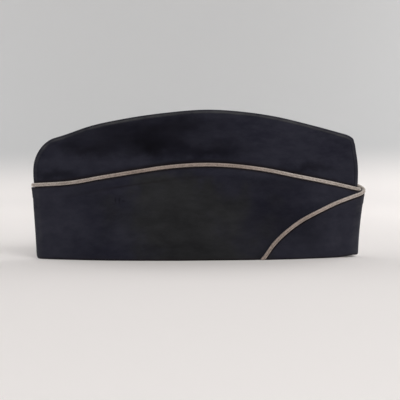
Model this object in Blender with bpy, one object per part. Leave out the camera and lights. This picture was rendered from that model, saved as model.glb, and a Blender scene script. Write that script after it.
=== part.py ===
"""A cloth side cap that stands on its rim, in metres.

+X is the cap's front, +Y its left side and +Z is up. Two crown panels meet in a seam that runs up the
back, over the top and down the front. A curtain is turned up round them in two pieces. The left one
wraps round the front and ends on the right side in a slanting edge, and piping follows both edges.
Every layer is set outwards from one form, the hollow that holds the head.
"""
from collections import namedtuple
from math import atan2, cos, exp, pi, radians, sin, sqrt

import bmesh
import bpy
import numpy as np

# Crown
CROWN_LENGTH = 0.2846          # outside, across the back and front edges where it is longest
CROWN_HEIGHT = 0.1285          # from the rim's level to the highest point of the top seam
CROWN_CLOTH = 0.0018           # cloth and interlining together
RIM_WIDTH = 0.0620             # inside the head opening, at its middle
BACK_CORNER_LENGTH = 0.0160    # the rounded corner where the top seam turns down the back
BACK_CORNER_HEIGHT = 0.0212
FRONT_CORNER_LENGTH = 0.0060   # the tighter corner where it turns down the front
FRONT_CORNER_HEIGHT = 0.0070
END_ROUND = 0.0042             # height over which both ends are rounded in to the rim
END_TUCK = 0.0018              # and how far they are rounded in
CROWN_RIM_LIFT = 0.0014        # the crown's rim is sewn in just above the curtain's fold

# Curtain
CURTAIN_HEIGHT = 0.0789        # the cloth's edge at its highest, without the piping
CURTAIN_CLOTH = 0.0022         # two layers of cloth, folded at the rim
STAND_OFF = 0.0016             # how far the curtain's upper edge stands off the crown at mid length
FOLD_TUCK = 0.0005             # how far each face is rounded in to the fold at the rim
NOSE_FLARE = 0.0016            # how far the wrapped front stands off at its upper edge
NOSE_HEIGHT = 0.0565           # the left curtain's edge where it wraps round the front
LAP_LENGTH = 0.0300            # over which the left curtain moves out to pass over the right one
FLAP_HEIGHT = 0.0529           # the slanting edge's upper end, on the right side of the front
FLAP_REACH = 0.0540            # its lower end, measured forwards from the crown's middle
FRONT_LIFT = 0.0012            # how far the fold rises at the front
LIFT_LENGTH = 0.0220           # distance from the front over which it rises
RIGHT_END_TURN = 0.5           # the right curtain's share of the way round the front, under the left

# Piping and gaps
PIPING_DIAMETER = 0.0034
PIPING_SIDES = 8
GAP = 0.0003                   # between one piece and the next
STEEPEST_LEAN = radians(27)    # of the crown's cloth from upright, where the curtain covers it

# How full the form is: 2 is a parabola, and higher powers stay wide for longer
PLAN_FULLNESS = 2.5            # from the middle to the two ends
SIDE_FULLNESS = 1.8            # from the rim to the top seam

# The crown's ends in the side view. height is a share of the form's height, and back and front are
# shares of half its length.
EndRow = namedtuple("EndRow", "height back front")
ENDS = [
    EndRow(height=0.00, back=0.959, front=0.961),
    EndRow(height=0.16, back=0.967, front=0.968),
    EndRow(height=0.33, back=0.977, front=0.981),
    EndRow(height=0.46, back=0.986, front=0.994),
    EndRow(height=0.53, back=0.997, front=1.000),
    EndRow(height=0.64, back=1.000, front=1.000),
    EndRow(height=0.74, back=1.000, front=0.987),
    EndRow(height=0.85, back=0.998, front=0.974),
    EndRow(height=1.00, back=0.996, front=0.965),
]

# The top seam before its corners are rounded. along runs from -1 at the back edge to 1 at the front
# one, and height is a share of the form's height.
SeamRow = namedtuple("SeamRow", "along height")
TOP_SEAM = [
    SeamRow(along=-1.00, height=0.768),
    SeamRow(along=-0.83, height=0.821),
    SeamRow(along=-0.65, height=0.888),
    SeamRow(along=-0.46, height=0.933),
    SeamRow(along=-0.19, height=0.977),
    SeamRow(along=0.09, height=1.000),
    SeamRow(along=0.28, height=0.989),
    SeamRow(along=0.50, height=0.957),
    SeamRow(along=0.74, height=0.897),
    SeamRow(along=1.00, height=0.821),
]

# The curtain's upper edge on each side, as shares of the curtain's height.
EdgeRow = namedtuple("EdgeRow", "along right left")
CURTAIN_EDGE = [
    EdgeRow(along=-1.00, right=0.780, left=0.780),
    EdgeRow(along=-0.78, right=0.807, left=0.807),
    EdgeRow(along=-0.58, right=0.867, left=0.867),
    EdgeRow(along=-0.38, right=0.926, left=0.926),
    EdgeRow(along=-0.19, right=0.975, left=0.975),
    EdgeRow(along=0.05, right=1.000, left=1.000),
    EdgeRow(along=0.20, right=0.988, left=0.988),
    EdgeRow(along=0.40, right=0.942, left=0.942),
    EdgeRow(along=0.60, right=0.872, left=0.876),
    EdgeRow(along=0.80, right=0.803, left=0.820),
    EdgeRow(along=1.00, right=0.727, left=0.768),
]

# The slanting edge. back is the share of the way from the front to its lower end, and height is a
# share of the flap's height.
FlapRow = namedtuple("FlapRow", "back height")
FLAP_EDGE = [
    FlapRow(back=0.00, height=1.000),
    FlapRow(back=0.14, height=0.930),
    FlapRow(back=0.33, height=0.815),
    FlapRow(back=0.50, height=0.690),
    FlapRow(back=0.643, height=0.566),
    FlapRow(back=0.762, height=0.440),
    FlapRow(back=0.853, height=0.313),
    FlapRow(back=0.93, height=0.180),
    FlapRow(back=1.00, height=0.015),
]

# Soft hollows and bulges of the two sides. along and height place the middle of one, as shares of
# half the form's length and of its height, length and rise are its spread in the same shares, and
# depth is the share of the width there that it takes away, or adds where it is below zero.
DentRow = namedtuple("DentRow", "side along height length rise depth")
DENTS = [
    DentRow(side="right", along=-0.38, height=0.74, length=0.34, rise=0.20, depth=0.16),
    DentRow(side="right", along=-0.80, height=0.60, length=0.20, rise=0.22, depth=-0.12),
    DentRow(side="right", along=0.36, height=0.12, length=0.12, rise=0.14, depth=0.035),
    DentRow(side="right", along=0.45, height=0.70, length=0.28, rise=0.18, depth=-0.05),
    DentRow(side="left", along=0.30, height=0.74, length=0.36, rise=0.20, depth=0.13),
    DentRow(side="left", along=-0.55, height=0.68, length=0.26, rise=0.20, depth=0.07),
]

SERGE = (0.019, 0.019, 0.027)  # near-black navy
BRAID = (0.270, 0.228, 0.194)  # greyish beige

# How finely the pieces are faceted
COLUMNS = 27                   # along a side, between the crown's two rounded corners
CORNER_COLUMNS = 4             # in each rounded corner
CROWN_ROWS = 6                 # from the curtain's edge to the top seam
CURTAIN_ROWS = 4               # from the rounded rim to the curtain's edge
ROLL_STEPS = 3                 # round the turned edge of a seam
NOSE_STEPS = 4                 # round an end of the curtain
SLOPE_STEP = 0.001             # share of a size over which a slope is measured
SHARP_EDGE = radians(40)       # a steeper fold between faces is shaded as an edge

FORM_HALF_LENGTH = CROWN_LENGTH / 2 - CROWN_CLOTH
FORM_HEIGHT = CROWN_HEIGHT - CROWN_CLOTH
CROWN_REACH = CROWN_CLOTH / cos(STEEPEST_LEAN) + GAP
SIDES = {"right": -1, "left": 1}

# A place on the curtain's way round the form. turn is 0 along a side and swings to 1 straight behind
# or ahead, round an end of the form.
Place = namedtuple("Place", "side along turn")


def clear_scene():
    """Removes whatever the scene holds."""
    for thing in list(bpy.data.objects):
        bpy.data.objects.remove(thing, do_unlink=True)


def read_table(rows, key, column, at):
    """Reads a column of a table on a smooth curve through its rows."""
    keys = [getattr(row, key) for row in rows]
    values = [getattr(row, column) for row in rows]
    slopes = np.gradient(values, keys)
    at = min(max(at, keys[0]), keys[-1])
    low = min(int(np.searchsorted(keys, at, side="right")) - 1, len(keys) - 2)
    span = keys[low + 1] - keys[low]
    t = (at - keys[low]) / span
    rise = values[low + 1] - values[low]
    start, end = slopes[low] * span, slopes[low + 1] * span
    bend = t * (t - 1) * ((t - 1) * (start - rise) + t * (end - rise))
    return float(values[low] + rise * t + bend)


def ease(share):
    """Goes smoothly from 0 to 1 while share does, and stays there on both sides of it."""
    share = min(max(share, 0.0), 1.0)
    return share * share * (3 - 2 * share)


def corner_drop(inset, length, height):
    """How far a rounded corner falls short, at a distance in from where it starts."""
    reach = min(max(inset / length, 0.0), 1.0)
    return height * (1 - sqrt(1 - (1 - reach) ** 2))


def form_x(along, z):
    """X on the form's middle plane, from the back edge at -1 to the front edge at 1."""
    tuck = corner_drop(z, END_ROUND, END_TUCK)
    back = tuck - FORM_HALF_LENGTH * read_table(ENDS, "height", "back", z / FORM_HEIGHT)
    front = FORM_HALF_LENGTH * read_table(ENDS, "height", "front", z / FORM_HEIGHT) - tuck
    return back + (front - back) * (along + 1) / 2


def seam_height(along):
    """Height of the form's upper outline, with its two rounded corners."""
    height = FORM_HEIGHT * read_table(TOP_SEAM, "along", "height", along)
    height -= corner_drop((1 + along) * FORM_HALF_LENGTH, BACK_CORNER_LENGTH, BACK_CORNER_HEIGHT)
    height -= corner_drop((1 - along) * FORM_HALF_LENGTH, FRONT_CORNER_LENGTH, FRONT_CORNER_HEIGHT)
    return height


def half_width(side, along, z):
    """The form's width on one side of the middle plane, with that side's hollows and bulges."""
    up = min(z / seam_height(along), 1.0)
    width = RIM_WIDTH / 2 * (1 - abs(along) ** PLAN_FULLNESS) * (1 - up ** SIDE_FULLNESS)
    for dent in DENTS:
        if dent.side == side:
            far = ((along - dent.along) / dent.length) ** 2
            high = ((z / FORM_HEIGHT - dent.height) / dent.rise) ** 2
            width *= 1 - dent.depth * exp(-far - high)
    return GAP / 2 + width


def form_point(side, along, z):
    return np.array([form_x(along, z), SIDES[side] * half_width(side, along, z), z])


def unit(vector):
    return vector / np.linalg.norm(vector)


def swing(start, end, share):
    """A direction part of the way from one to another, on the arc between them."""
    angle = np.arccos(np.clip(np.dot(start, end), -1.0, 1.0))
    if angle < 1e-6:
        return start
    return (sin((1 - share) * angle) * start + sin(share * angle) * end) / sin(angle)


def level_outward(place, z):
    """The level direction away from the form at a place round it."""
    behind = form_point(place.side, max(place.along - SLOPE_STEP, -1), z)
    ahead = form_point(place.side, min(place.along + SLOPE_STEP, 1), z)
    run = ahead - behind
    sideways = SIDES[place.side]
    end = -1 if place.along < 0 else 1
    side_angle = atan2(-end * sideways * run[1], run[0])
    angle = side_angle + (pi / 2 - side_angle) * place.turn
    return np.array([end * sin(angle), sideways * cos(angle), 0.0])


def layer_point(place, z, out):
    """A point set outwards and level from the form."""
    return form_point(place.side, place.along, z) + out * level_outward(place, z)


def loft(name, rings, rows):
    """One closed solid through rings of points. Each ring runs up a wall's inside and down its outside."""
    points = np.concatenate([np.array(ring) for ring in rings])
    size = len(rings[0])
    faces = []
    for first in range(0, len(points) - size, size):
        for i in range(size):
            after = (i + 1) % size
            faces.append((first + i, first + after, first + size + after, first + size + i))
    for first in (0, len(points) - size):
        for i in range(rows):
            faces.append((first + i, first + i + 1, first + size - 2 - i, first + size - 1 - i))
    mesh = bpy.data.meshes.new(name)
    mesh.from_pydata([tuple(point) for point in points], [], faces)
    cleaner = bmesh.new()
    cleaner.from_mesh(mesh)
    bmesh.ops.remove_doubles(cleaner, verts=cleaner.verts, dist=1e-6)
    bmesh.ops.recalc_face_normals(cleaner, faces=cleaner.faces)
    cleaner.to_mesh(mesh)
    cleaner.free()
    mesh.shade_smooth()
    mesh.set_sharp_from_angle(angle=SHARP_EDGE)
    solid = bpy.data.objects.new(name, mesh)
    bpy.context.scene.collection.objects.link(solid)
    return solid


def side_columns():
    """Where the columns of every layer stand along a side, evenly round the crown's two corners."""
    back = BACK_CORNER_LENGTH / FORM_HALF_LENGTH
    front = FRONT_CORNER_LENGTH / FORM_HALF_LENGTH
    turns = [pi / 2 * i / CORNER_COLUMNS for i in range(CORNER_COLUMNS)]
    columns = [-1 + back * (1 - cos(turn)) for turn in turns]
    columns += list(np.linspace(-1 + back, 1 - front, COLUMNS))
    columns += [1 - front * (1 - cos(turn)) for turn in reversed(turns)]
    return columns


def side_edge(side, along):
    """Height of the curtain's upper edge along a side."""
    return CURTAIN_HEIGHT * read_table(CURTAIN_EDGE, "along", side, along)


def wall_heights(low, edge):
    """Rows up a wall as far as the curtain's edge, closer together where the ends are rounded in."""
    rounded = min(END_ROUND, low + (edge - low) / 3)
    return [low, (low + rounded) / 2] + list(np.linspace(rounded, edge, CURTAIN_ROWS + 1))


def crown_heights(side, along):
    """Rows up the crown: the curtain's own rows, and then more up to the top seam."""
    top = seam_height(along)
    edge = min(side_edge(side, along), top - 2 * GAP)
    above = np.linspace(edge, top, CROWN_ROWS + 1)
    return wall_heights(CROWN_RIM_LIFT, edge) + list(above[1:])


def cloth_normal(side, along, z):
    """The outward direction of the crown's cloth, from steps towards its middle and its rim."""
    here = form_point(side, along, z)
    inwards = form_point(side, along - np.copysign(SLOPE_STEP, along), z) - here
    down = form_point(side, along, z - SLOPE_STEP * FORM_HEIGHT) - here
    normal = unit(np.cross(inwards, down))
    return normal * np.copysign(1, normal[1] * SIDES[side])


def seam_directions(skin):
    """Away from the panel in the seam's plane, up its back edge, over the top and down its front."""
    top = [column[-1] for column in skin[1:-1]]
    outline = np.array(skin[0] + top + skin[-1][::-1])
    runs = np.gradient(outline, axis=0)
    outwards = [unit(np.array([-run[2], 0.0, run[0]])) for run in runs]
    rows = len(skin[0])
    over = [outwards[rows - 1]] + outwards[rows:-rows] + [outwards[-rows]]
    return outwards[:rows], over, outwards[-rows:][::-1]


def crown_panel(side):
    """A side panel of the crown, whose edge is turned over a round seam on the middle plane."""
    columns = side_columns()
    skin = [[form_point(side, along, z) for z in crown_heights(side, along)] for along in columns]
    up_back, over, down_front = seam_directions(skin)

    def ring(number, turn, edge):
        """One section. turn is 1 where the cloth lies on its normal, and 0 on the seam's plane."""
        inside = skin[number]
        normals = [cloth_normal(side, columns[number], point[2]) for point in inside]
        directions = [swing(out, normal, turn) for out, normal in zip(edge, normals)]
        shares = [min(i / ROLL_STEPS, turn) for i in range(ROLL_STEPS)]
        roll = [swing(over[number], normals[-1], share) for share in shares]
        turned = [inside[-1] + CROWN_CLOTH * direction for direction in roll]
        outside = [point + CROWN_CLOTH * direction for point, direction in zip(inside, directions)]
        return inside + turned + outside[::-1]

    partly = [i / ROLL_STEPS for i in range(ROLL_STEPS)]
    last = len(columns) - 1
    rings = [ring(0, turn, up_back) for turn in partly]
    rings += [ring(number, 1, up_back) for number in range(len(columns))]
    rings += [ring(last, turn, down_front) for turn in reversed(partly)]
    return loft("crown_" + side, rings, len(skin[0]) - 1)


def flap_end():
    """Where the slanting edge meets the rim, along the form."""
    back, front = form_x(-1, 0), form_x(1, 0)
    return 2 * (FLAP_REACH - back) / (front - back) - 1


def right_edge(place):
    """Height of the right curtain's edge, which stays level round both ends."""
    return side_edge("right", place.along)


def left_edge(place):
    """Height of the left curtain's edge along its side, round the front and down the slant."""
    if place.side == "left":
        edge = side_edge("left", place.along)
        return edge + (NOSE_HEIGHT - edge) * place.turn if place.along > 0 else edge
    back = (1 - place.along) / (1 - flap_end())
    edge = FLAP_HEIGHT * read_table(FLAP_EDGE, "back", "height", back)
    return edge + (NOSE_HEIGHT - edge) * place.turn


def belly(place, z):
    """How far the curtain stands off the crown, most at its upper edge and at mid length."""
    return STAND_OFF * (z / side_edge(place.side, place.along)) ** 2 * (1 - place.along ** 2)


def right_out(place, z):
    """From the form to the inside of the right curtain."""
    return CROWN_REACH + belly(place, z)


def left_out(place, z):
    """From the form to the inside of the left curtain, which passes over the right one in front."""
    near_front = ease(1 - (1 - place.along) * FORM_HALF_LENGTH / LAP_LENGTH)
    lap = near_front if place.side == "left" else 1.0
    flare = NOSE_FLARE * near_front * (z / NOSE_HEIGHT) ** 2
    return right_out(place, z) + lap * (CURTAIN_CLOTH + GAP) + flare


def fold_height(place):
    """Height of the curtain's fold over the surface it stands on, which rises at the front."""
    from_front = (1 - place.along) * FORM_HALF_LENGTH
    return FRONT_LIFT * ease(1 - from_front / LIFT_LENGTH)


def curtain_ring(place, edge, out):
    """One section of the curtain, rounded in at its fold."""
    heights = wall_heights(fold_height(place), edge)
    tucks = [FOLD_TUCK] + [0.0] * (len(heights) - 1)
    inner = [out(place, z) + tuck for z, tuck in zip(heights, tucks)]
    outer = [out(place, z) + CURTAIN_CLOTH - tuck for z, tuck in zip(heights, tucks)]
    inside = [layer_point(place, z, reach) for z, reach in zip(heights, inner)]
    outside = [layer_point(place, z, reach) for z, reach in zip(heights, outer)]
    return inside + outside[::-1]


def turns(side, along, start, end):
    """Places round an end of the form."""
    steps = round(NOSE_STEPS * abs(end - start)) + 1
    return [Place(side, along, turn) for turn in np.linspace(start, end, steps)]


def right_places():
    """From the back seam, along the right side and part of the way round the front."""
    places = turns("right", -1, 1, 0)
    places += [Place("right", along, 0.0) for along in side_columns()[1:-1]]
    return places + turns("right", 1, 0, RIGHT_END_TURN)


def left_places():
    """From the back seam, along the left side, round the front and back to the slant's lower end."""
    places = turns("left", -1, 1, 0)
    places += [Place("left", along, 0.0) for along in side_columns()[1:-1]]
    places += turns("left", 1, 0, 1) + turns("right", 1, 1, 0)
    whole = [along for along in side_columns()[::-1] if along > flap_end()]
    halves = [(front + back) / 2 for front, back in zip(whole, whole[1:] + [flap_end()])]
    flap = sorted(whole[1:] + halves, reverse=True) + [flap_end()]
    return places + [Place("right", along, 0.0) for along in flap]


def curtain_right():
    rings = [curtain_ring(place, right_edge(place), right_out) for place in right_places()]
    return loft("curtain_right", rings, len(rings[0]) // 2 - 1)


def curtain_left():
    rings = [curtain_ring(place, left_edge(place), left_out) for place in left_places()]
    return loft("curtain_left", rings, len(rings[0]) // 2 - 1)


def piping_route(places, edge_of, out):
    """The piping's middle line, a gap off the cloth's edge and clear of the crown behind it."""
    radius = PIPING_DIAMETER / 2
    edges = [edge_of(place) for place in places]
    rests = np.array([layer_point(place, z, out(place, z)) for place, z in zip(places, edges)])
    runs = np.gradient(rests, axis=0)
    route = []
    for place, z, rest, run in zip(places, edges, rests, runs):
        outwards = level_outward(place, z)
        away = unit(np.cross(outwards, run))
        away *= np.copysign(1, away[2])
        over = form_point(place.side, place.along, z + PIPING_DIAMETER)
        bulge = max(np.dot(over - form_point(place.side, place.along, z), outwards), 0.0)
        route.append(rest + (radius + bulge) * outwards + (radius + GAP) * away)
    return route


def piping():
    """One cord, from the tucked end at the front right round the back to the slant's lower end."""
    right = piping_route(right_places(), right_edge, right_out)
    left = piping_route(left_places(), left_edge, left_out)
    route = right[::-1] + left
    curve = bpy.data.curves.new("piping", "CURVE")
    curve.dimensions = "3D"
    curve.bevel_depth = PIPING_DIAMETER / 2
    curve.bevel_resolution = PIPING_SIDES // 2 - 2
    curve.use_fill_caps = True
    line = curve.splines.new("POLY")
    line.points.add(len(route) - 1)
    for point, place in zip(line.points, route):
        point.co = (*place, 1.0)
    cord = bpy.data.objects.new("piping", curve)
    bpy.context.scene.collection.objects.link(cord)
    return cord


def finish(name, colour, roughness):
    """A plain material in one colour."""
    material = bpy.data.materials.new(name)
    material.use_nodes = True
    shader = material.node_tree.nodes["Principled BSDF"]
    shader.inputs["Base Color"].default_value = (*colour, 1.0)
    shader.inputs["Roughness"].default_value = roughness
    shader.inputs["Metallic"].default_value = 0.0
    return material


def stand_on_floor(pieces):
    """Hangs the pieces on an empty that puts the middle of their box over the origin."""
    bpy.context.view_layer.update()
    boxes = np.array([[corner[:] for corner in piece.bound_box] for piece in pieces]).reshape(-1, 3)
    middle = (boxes.min(axis=0) + boxes.max(axis=0)) / 2
    cap = bpy.data.objects.new("side_cap", None)
    cap.location = (-middle[0], -middle[1], -boxes[:, 2].min())
    bpy.context.scene.collection.objects.link(cap)
    for piece in pieces:
        piece.parent = cap


def build():
    clear_scene()
    cloth = [crown_panel("right"), crown_panel("left"), curtain_right(), curtain_left()]
    cord = piping()
    for piece in cloth:
        piece.data.materials.append(finish(piece.name + "_cloth", SERGE, 0.9))
    cord.data.materials.append(finish("piping_braid", BRAID, 0.85))
    stand_on_floor(cloth + [cord])


build()
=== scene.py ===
# %% [markdown]
# # A side cap in dark navy serge
#
# A side cap, also called a garrison cap, is cut from flat cloth. Two crown panels are sewn
# together up the back, over the top and down the front. A curtain, which is a band of doubled
# cloth, is folded up round them. Its left half passes round the front and ends on the right side
# in a slanting edge, and a pale piping runs along every free edge of the curtain.
#
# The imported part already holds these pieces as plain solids. This script loads it as a fixed
# frame, builds each piece again as fine cloth in the same place, and gives every piece its
# finish.

from collections import namedtuple
from contextlib import contextmanager

import bmesh
import bpy
import numpy as np
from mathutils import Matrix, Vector


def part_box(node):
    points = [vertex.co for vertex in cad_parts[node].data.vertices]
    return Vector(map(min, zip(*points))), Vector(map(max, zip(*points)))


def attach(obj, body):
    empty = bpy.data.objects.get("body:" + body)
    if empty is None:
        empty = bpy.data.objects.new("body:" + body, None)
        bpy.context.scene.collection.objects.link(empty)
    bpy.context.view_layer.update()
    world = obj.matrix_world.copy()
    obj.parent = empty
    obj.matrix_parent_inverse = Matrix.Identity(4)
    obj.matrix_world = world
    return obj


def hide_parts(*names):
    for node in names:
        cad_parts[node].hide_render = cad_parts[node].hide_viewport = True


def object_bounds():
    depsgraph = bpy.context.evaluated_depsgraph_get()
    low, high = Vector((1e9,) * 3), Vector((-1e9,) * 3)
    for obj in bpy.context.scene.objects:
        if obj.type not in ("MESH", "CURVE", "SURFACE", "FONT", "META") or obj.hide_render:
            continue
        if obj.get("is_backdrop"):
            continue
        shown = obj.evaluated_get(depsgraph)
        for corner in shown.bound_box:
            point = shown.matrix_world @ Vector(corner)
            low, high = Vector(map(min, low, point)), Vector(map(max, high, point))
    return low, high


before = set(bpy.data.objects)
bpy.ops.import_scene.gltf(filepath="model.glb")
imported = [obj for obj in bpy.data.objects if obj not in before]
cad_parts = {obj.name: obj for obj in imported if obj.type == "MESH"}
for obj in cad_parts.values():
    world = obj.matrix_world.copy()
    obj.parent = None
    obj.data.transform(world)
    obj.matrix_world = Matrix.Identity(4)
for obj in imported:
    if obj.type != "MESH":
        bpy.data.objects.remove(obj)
cad_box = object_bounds()


def mm(length):
    """A length in millimetres, rounded for printing."""
    return round(1000 * float(length), 1)


for name in sorted(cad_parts):
    low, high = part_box(name)
    print(name, "measures", [mm(size) for size in high - low], "mm")

# %% [markdown]
# ## The room: floor, backdrop, light and camera
#
# The cap stands on a pale sweep, which runs level under the cap and curves up further out, so
# that no line shows where the floor ends. It could be two planes, but then a corner would show,
# or a sheet bent up behind the cap, but then its side edges would show from other sides. Here one
# outline is spun into a round dish, which looks alike from all sides. Its colour greys with
# height: painted shade, which stands for the upper part being further from the lamps.
#
# A large lamp in front gives most of the light. One on each side lights the two ends, and three
# behind the cap give the pale line along its top and the soft shadow on the floor before it.

# %% A small class for node trees
# Shader maths reads best as Python expressions, so an output of a node is wrapped in a class
# whose operators add Math nodes. The same class serves the geometry trees further down.
def adds(operation, swapped=False):
    """Makes a method of Output that adds one Math node. swapped puts the other value first."""

    def method(self, *others):
        values = (*others, self) if swapped else (self, *others)
        return self.tree.node("ShaderNodeMath", {"operation": operation}, dict(enumerate(values)))

    return method


class Output:
    """An output of a node. Python's operators on it add Math nodes to its tree."""

    def __init__(self, tree, socket):
        self.tree, self.socket = tree, socket

    def other(self, name):
        """Another output of the same node."""
        return Output(self.tree, find(self.socket.node.outputs, name))

    __add__ = __radd__ = adds("ADD")
    __sub__, __rsub__ = adds("SUBTRACT"), adds("SUBTRACT", swapped=True)
    __mul__ = __rmul__ = adds("MULTIPLY")
    __truediv__, __rtruediv__ = adds("DIVIDE"), adds("DIVIDE", swapped=True)
    sin, exp, abs = adds("SINE"), adds("EXPONENT"), adds("ABSOLUTE")
    at_least, at_most = adds("MAXIMUM"), adds("MINIMUM")

    def __neg__(self):
        return self * -1

    def squared(self):
        return self * self

    def clamp(self):
        return self.at_least(0).at_most(1)


# %% Trees and finishes
def find(sockets, key):
    """A socket by its number, its identifier or its name."""
    if isinstance(key, int):
        return sockets[key]
    for socket in sockets:
        if socket.identifier == key:
            return socket
    return sockets[key]


class Tree:
    """A node tree with one method that adds a node, sets it and joins it up."""

    def __init__(self, tree):
        self.tree = tree

    def node(self, kind, settings=None, inputs=None, output=0):
        made = self.tree.nodes.new(kind)
        for name, value in (settings or {}).items():
            setattr(made, name, value)
        for name, value in (inputs or {}).items():
            self.join(value, find(made.inputs, name))
        return Output(self, find(made.outputs, output) if made.outputs else None)

    def join(self, value, socket):
        if isinstance(value, Output):
            self.tree.links.new(value.socket, socket)
        else:
            socket.default_value = value


class Finish(Tree):
    """A material. Its constants are set on the shader's own sockets, by name."""

    def __init__(self, name, **constants):
        self.material = bpy.data.materials.new(name)
        self.material.use_nodes = True
        super().__init__(self.material.node_tree)
        self.shader = self.tree.nodes["Principled BSDF"]
        self.feed(**constants)

    def feed(self, **values):
        """Links or sets the shader's sockets."""
        for key, value in values.items():
            self.join(value, self.shader.inputs[key.replace("_", " ")])

    def place(self):
        """Where a point is on the finished object, in metres."""
        return self.node("ShaderNodeTexCoord", output="Object")

    def axes(self, vector):
        """The three numbers of a vector."""
        x = self.node("ShaderNodeSeparateXYZ", inputs={0: vector}, output="X")
        return x, x.other("Y"), x.other("Z")

    def attribute(self, name):
        return self.node("ShaderNodeAttribute", {"attribute_name": name}, output="Fac")

    def noise(self, vector, scale, detail=2.0, roughness=0.5):
        """Soft random values from 0 to 1. scale is how many features go in a metre."""
        inputs = {"Vector": vector, "Scale": scale, "Detail": detail, "Roughness": roughness}
        return self.node("ShaderNodeTexNoise", {}, inputs)

    def mix(self, share, one, two):
        """A colour that goes from one to two with share."""
        one, two = [value if isinstance(value, Output) else (*value, 1.0) for value in (one, two)]
        inputs = {"Factor_Float": share, "A_Color": one, "B_Color": two}
        return self.node("ShaderNodeMix", {"data_type": "RGBA"}, inputs, "Result_Color")

    def smooth(self, value, start, end):
        """Goes from 0 to 1 as value goes from start to end."""
        inputs = {"Value": value, "From Min": start, "From Max": end}
        return self.node("ShaderNodeMapRange", {"interpolation_type": "SMOOTHSTEP"}, inputs)

    def bump(self, height):
        """A normal that follows a height in metres."""
        return self.node("ShaderNodeBump", {}, {"Strength": 1.0, "Distance": 1.0, "Height": height})


# %% Floor and backdrop
def add_mesh(name, mesh):
    made = bpy.data.objects.new(name, mesh)
    bpy.context.scene.collection.objects.link(made)
    return made


@contextmanager
def reworking(mesh):
    """Opens a mesh for work on its points, keeps the result and says whether it is closed."""
    work = bmesh.new()
    work.from_mesh(mesh)
    yield work
    open_edges = sum(not edge.is_manifold for edge in work.edges)
    work.to_mesh(mesh)
    work.free()
    print(mesh.name, "has", len(mesh.polygons), "faces and", open_edges, "open edges")


def close(work, distance):
    """Merges points that coincide and turns the faces outwards."""
    bmesh.ops.remove_doubles(work, verts=work.verts, dist=distance)
    bmesh.ops.recalc_face_normals(work, faces=work.faces)


DISH_MIDDLE, FLOOR_RADIUS = (0.0, -1.10), 1.85  # the wall comes closest behind the cap
WALL_BEND, WALL_HEIGHT = 0.55, 1.0
BEND_STEPS, DISH_SIDES = 24, 120
FLOOR_SHADE, WALL_PAINTED_SHADE = (0.914, 0.871, 0.849), (0.545, 0.545, 0.545)
FADE_START, FADE_END = 0.030, 0.112  # heights between which painted shade turns the paper grey
FADE_TILT = 0.018  # and their rise for each metre to the right
FIRST_FADE, FIRST_END = 0.14, 0.022  # a first faint step of the painted shade below them


def build_sweep():
    turn = np.linspace(0, np.pi / 2, BEND_STEPS + 1)
    radii = [0.0, *(FLOOR_RADIUS + WALL_BEND * np.sin(turn)), FLOOR_RADIUS + WALL_BEND]
    heights = [0.0, *(WALL_BEND * (1 - np.cos(turn))), WALL_HEIGHT]
    x, y = DISH_MIDDLE
    mesh = bpy.data.meshes.new("sweep")
    with reworking(mesh) as work:
        outline = [work.verts.new((x, y + radius, z)) for radius, z in zip(radii, heights)]
        edges = [work.edges.new(pair) for pair in zip(outline, outline[1:])]
        bmesh.ops.spin(work, geom=outline + edges, cent=(*DISH_MIDDLE, 0), axis=(0, 0, 1),
                       angle=2 * np.pi, steps=DISH_SIDES, use_merge=True)
        close(work, distance=1e-5)
    mesh.shade_smooth()
    return add_mesh("sweep", mesh)


sweep = build_sweep()
paper = Finish("pale_paper", Roughness=0.85, Specular_IOR_Level=0.2)
x, _, z = paper.axes(paper.place())
# Painted shade: the paper's colour greys with height, where less lamp light would reach it.
fade = paper.smooth(z - x * FADE_TILT, FADE_START, FADE_END) * (1 - FIRST_FADE)
fade = fade + paper.smooth(z, 0.0, FIRST_END) * FIRST_FADE
paper.feed(Base_Color=paper.mix(fade, FLOOR_SHADE, WALL_PAINTED_SHADE))
sweep.data.materials.append(paper.material)
sweep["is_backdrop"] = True

# %% Lamps and the world's even light
Lamp = namedtuple("Lamp", "name place size power")
LAMPS = [
    Lamp("front", (0.5, -1.9, 1.2), (1.4, 0.9), 32),
    Lamp("right", (1.5, -0.25, 0.7), (0.9, 0.9), 6.5),
    Lamp("left", (-1.5, -0.25, 0.6), (0.9, 0.9), 7.2),
    Lamp("behind", (0.25, 0.90, 1.10), (1.6, 0.6), 2.8),
    Lamp("behind_right", (0.95, 0.80, 0.65), (0.9, 0.4), 4.2),
    Lamp("behind_left", (-0.95, 0.80, 0.65), (0.9, 0.4), 4.4),
]
AMBIENT = 0.01


def build_lamp(lamp):
    light = bpy.data.lights.new(lamp.name, "AREA")
    light.shape = "RECTANGLE"
    light.size, light.size_y = lamp.size
    light.energy = lamp.power
    placed = bpy.data.objects.new(lamp.name, light)
    placed.location = lamp.place
    placed.rotation_euler = (-Vector(lamp.place)).to_track_quat("-Z", "Y").to_euler()
    bpy.context.scene.collection.objects.link(placed)


for lamp in LAMPS:
    build_lamp(lamp)
world = bpy.data.worlds.new("even_light")
world.use_nodes = True
background = world.node_tree.nodes["Background"]
background.inputs["Color"].default_value = (1.0, 1.0, 1.0, 1.0)
background.inputs["Strength"].default_value = AMBIENT
bpy.context.scene.world = world
bpy.context.scene.view_settings.view_transform = "Standard"
print(len(LAMPS), "lamps and an even light of", AMBIENT)

# %% Camera
# The camera stands a metre away on the cap's right, a little behind and above its middle.
CAMERA_PLACE = Vector((-0.0977, -0.9952, 0.0830))
CAMERA_AIM = Vector((-0.0001, 0.0, 0.0500))
SENSOR_WIDTH, LENS = 36.0, 103.34

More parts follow.
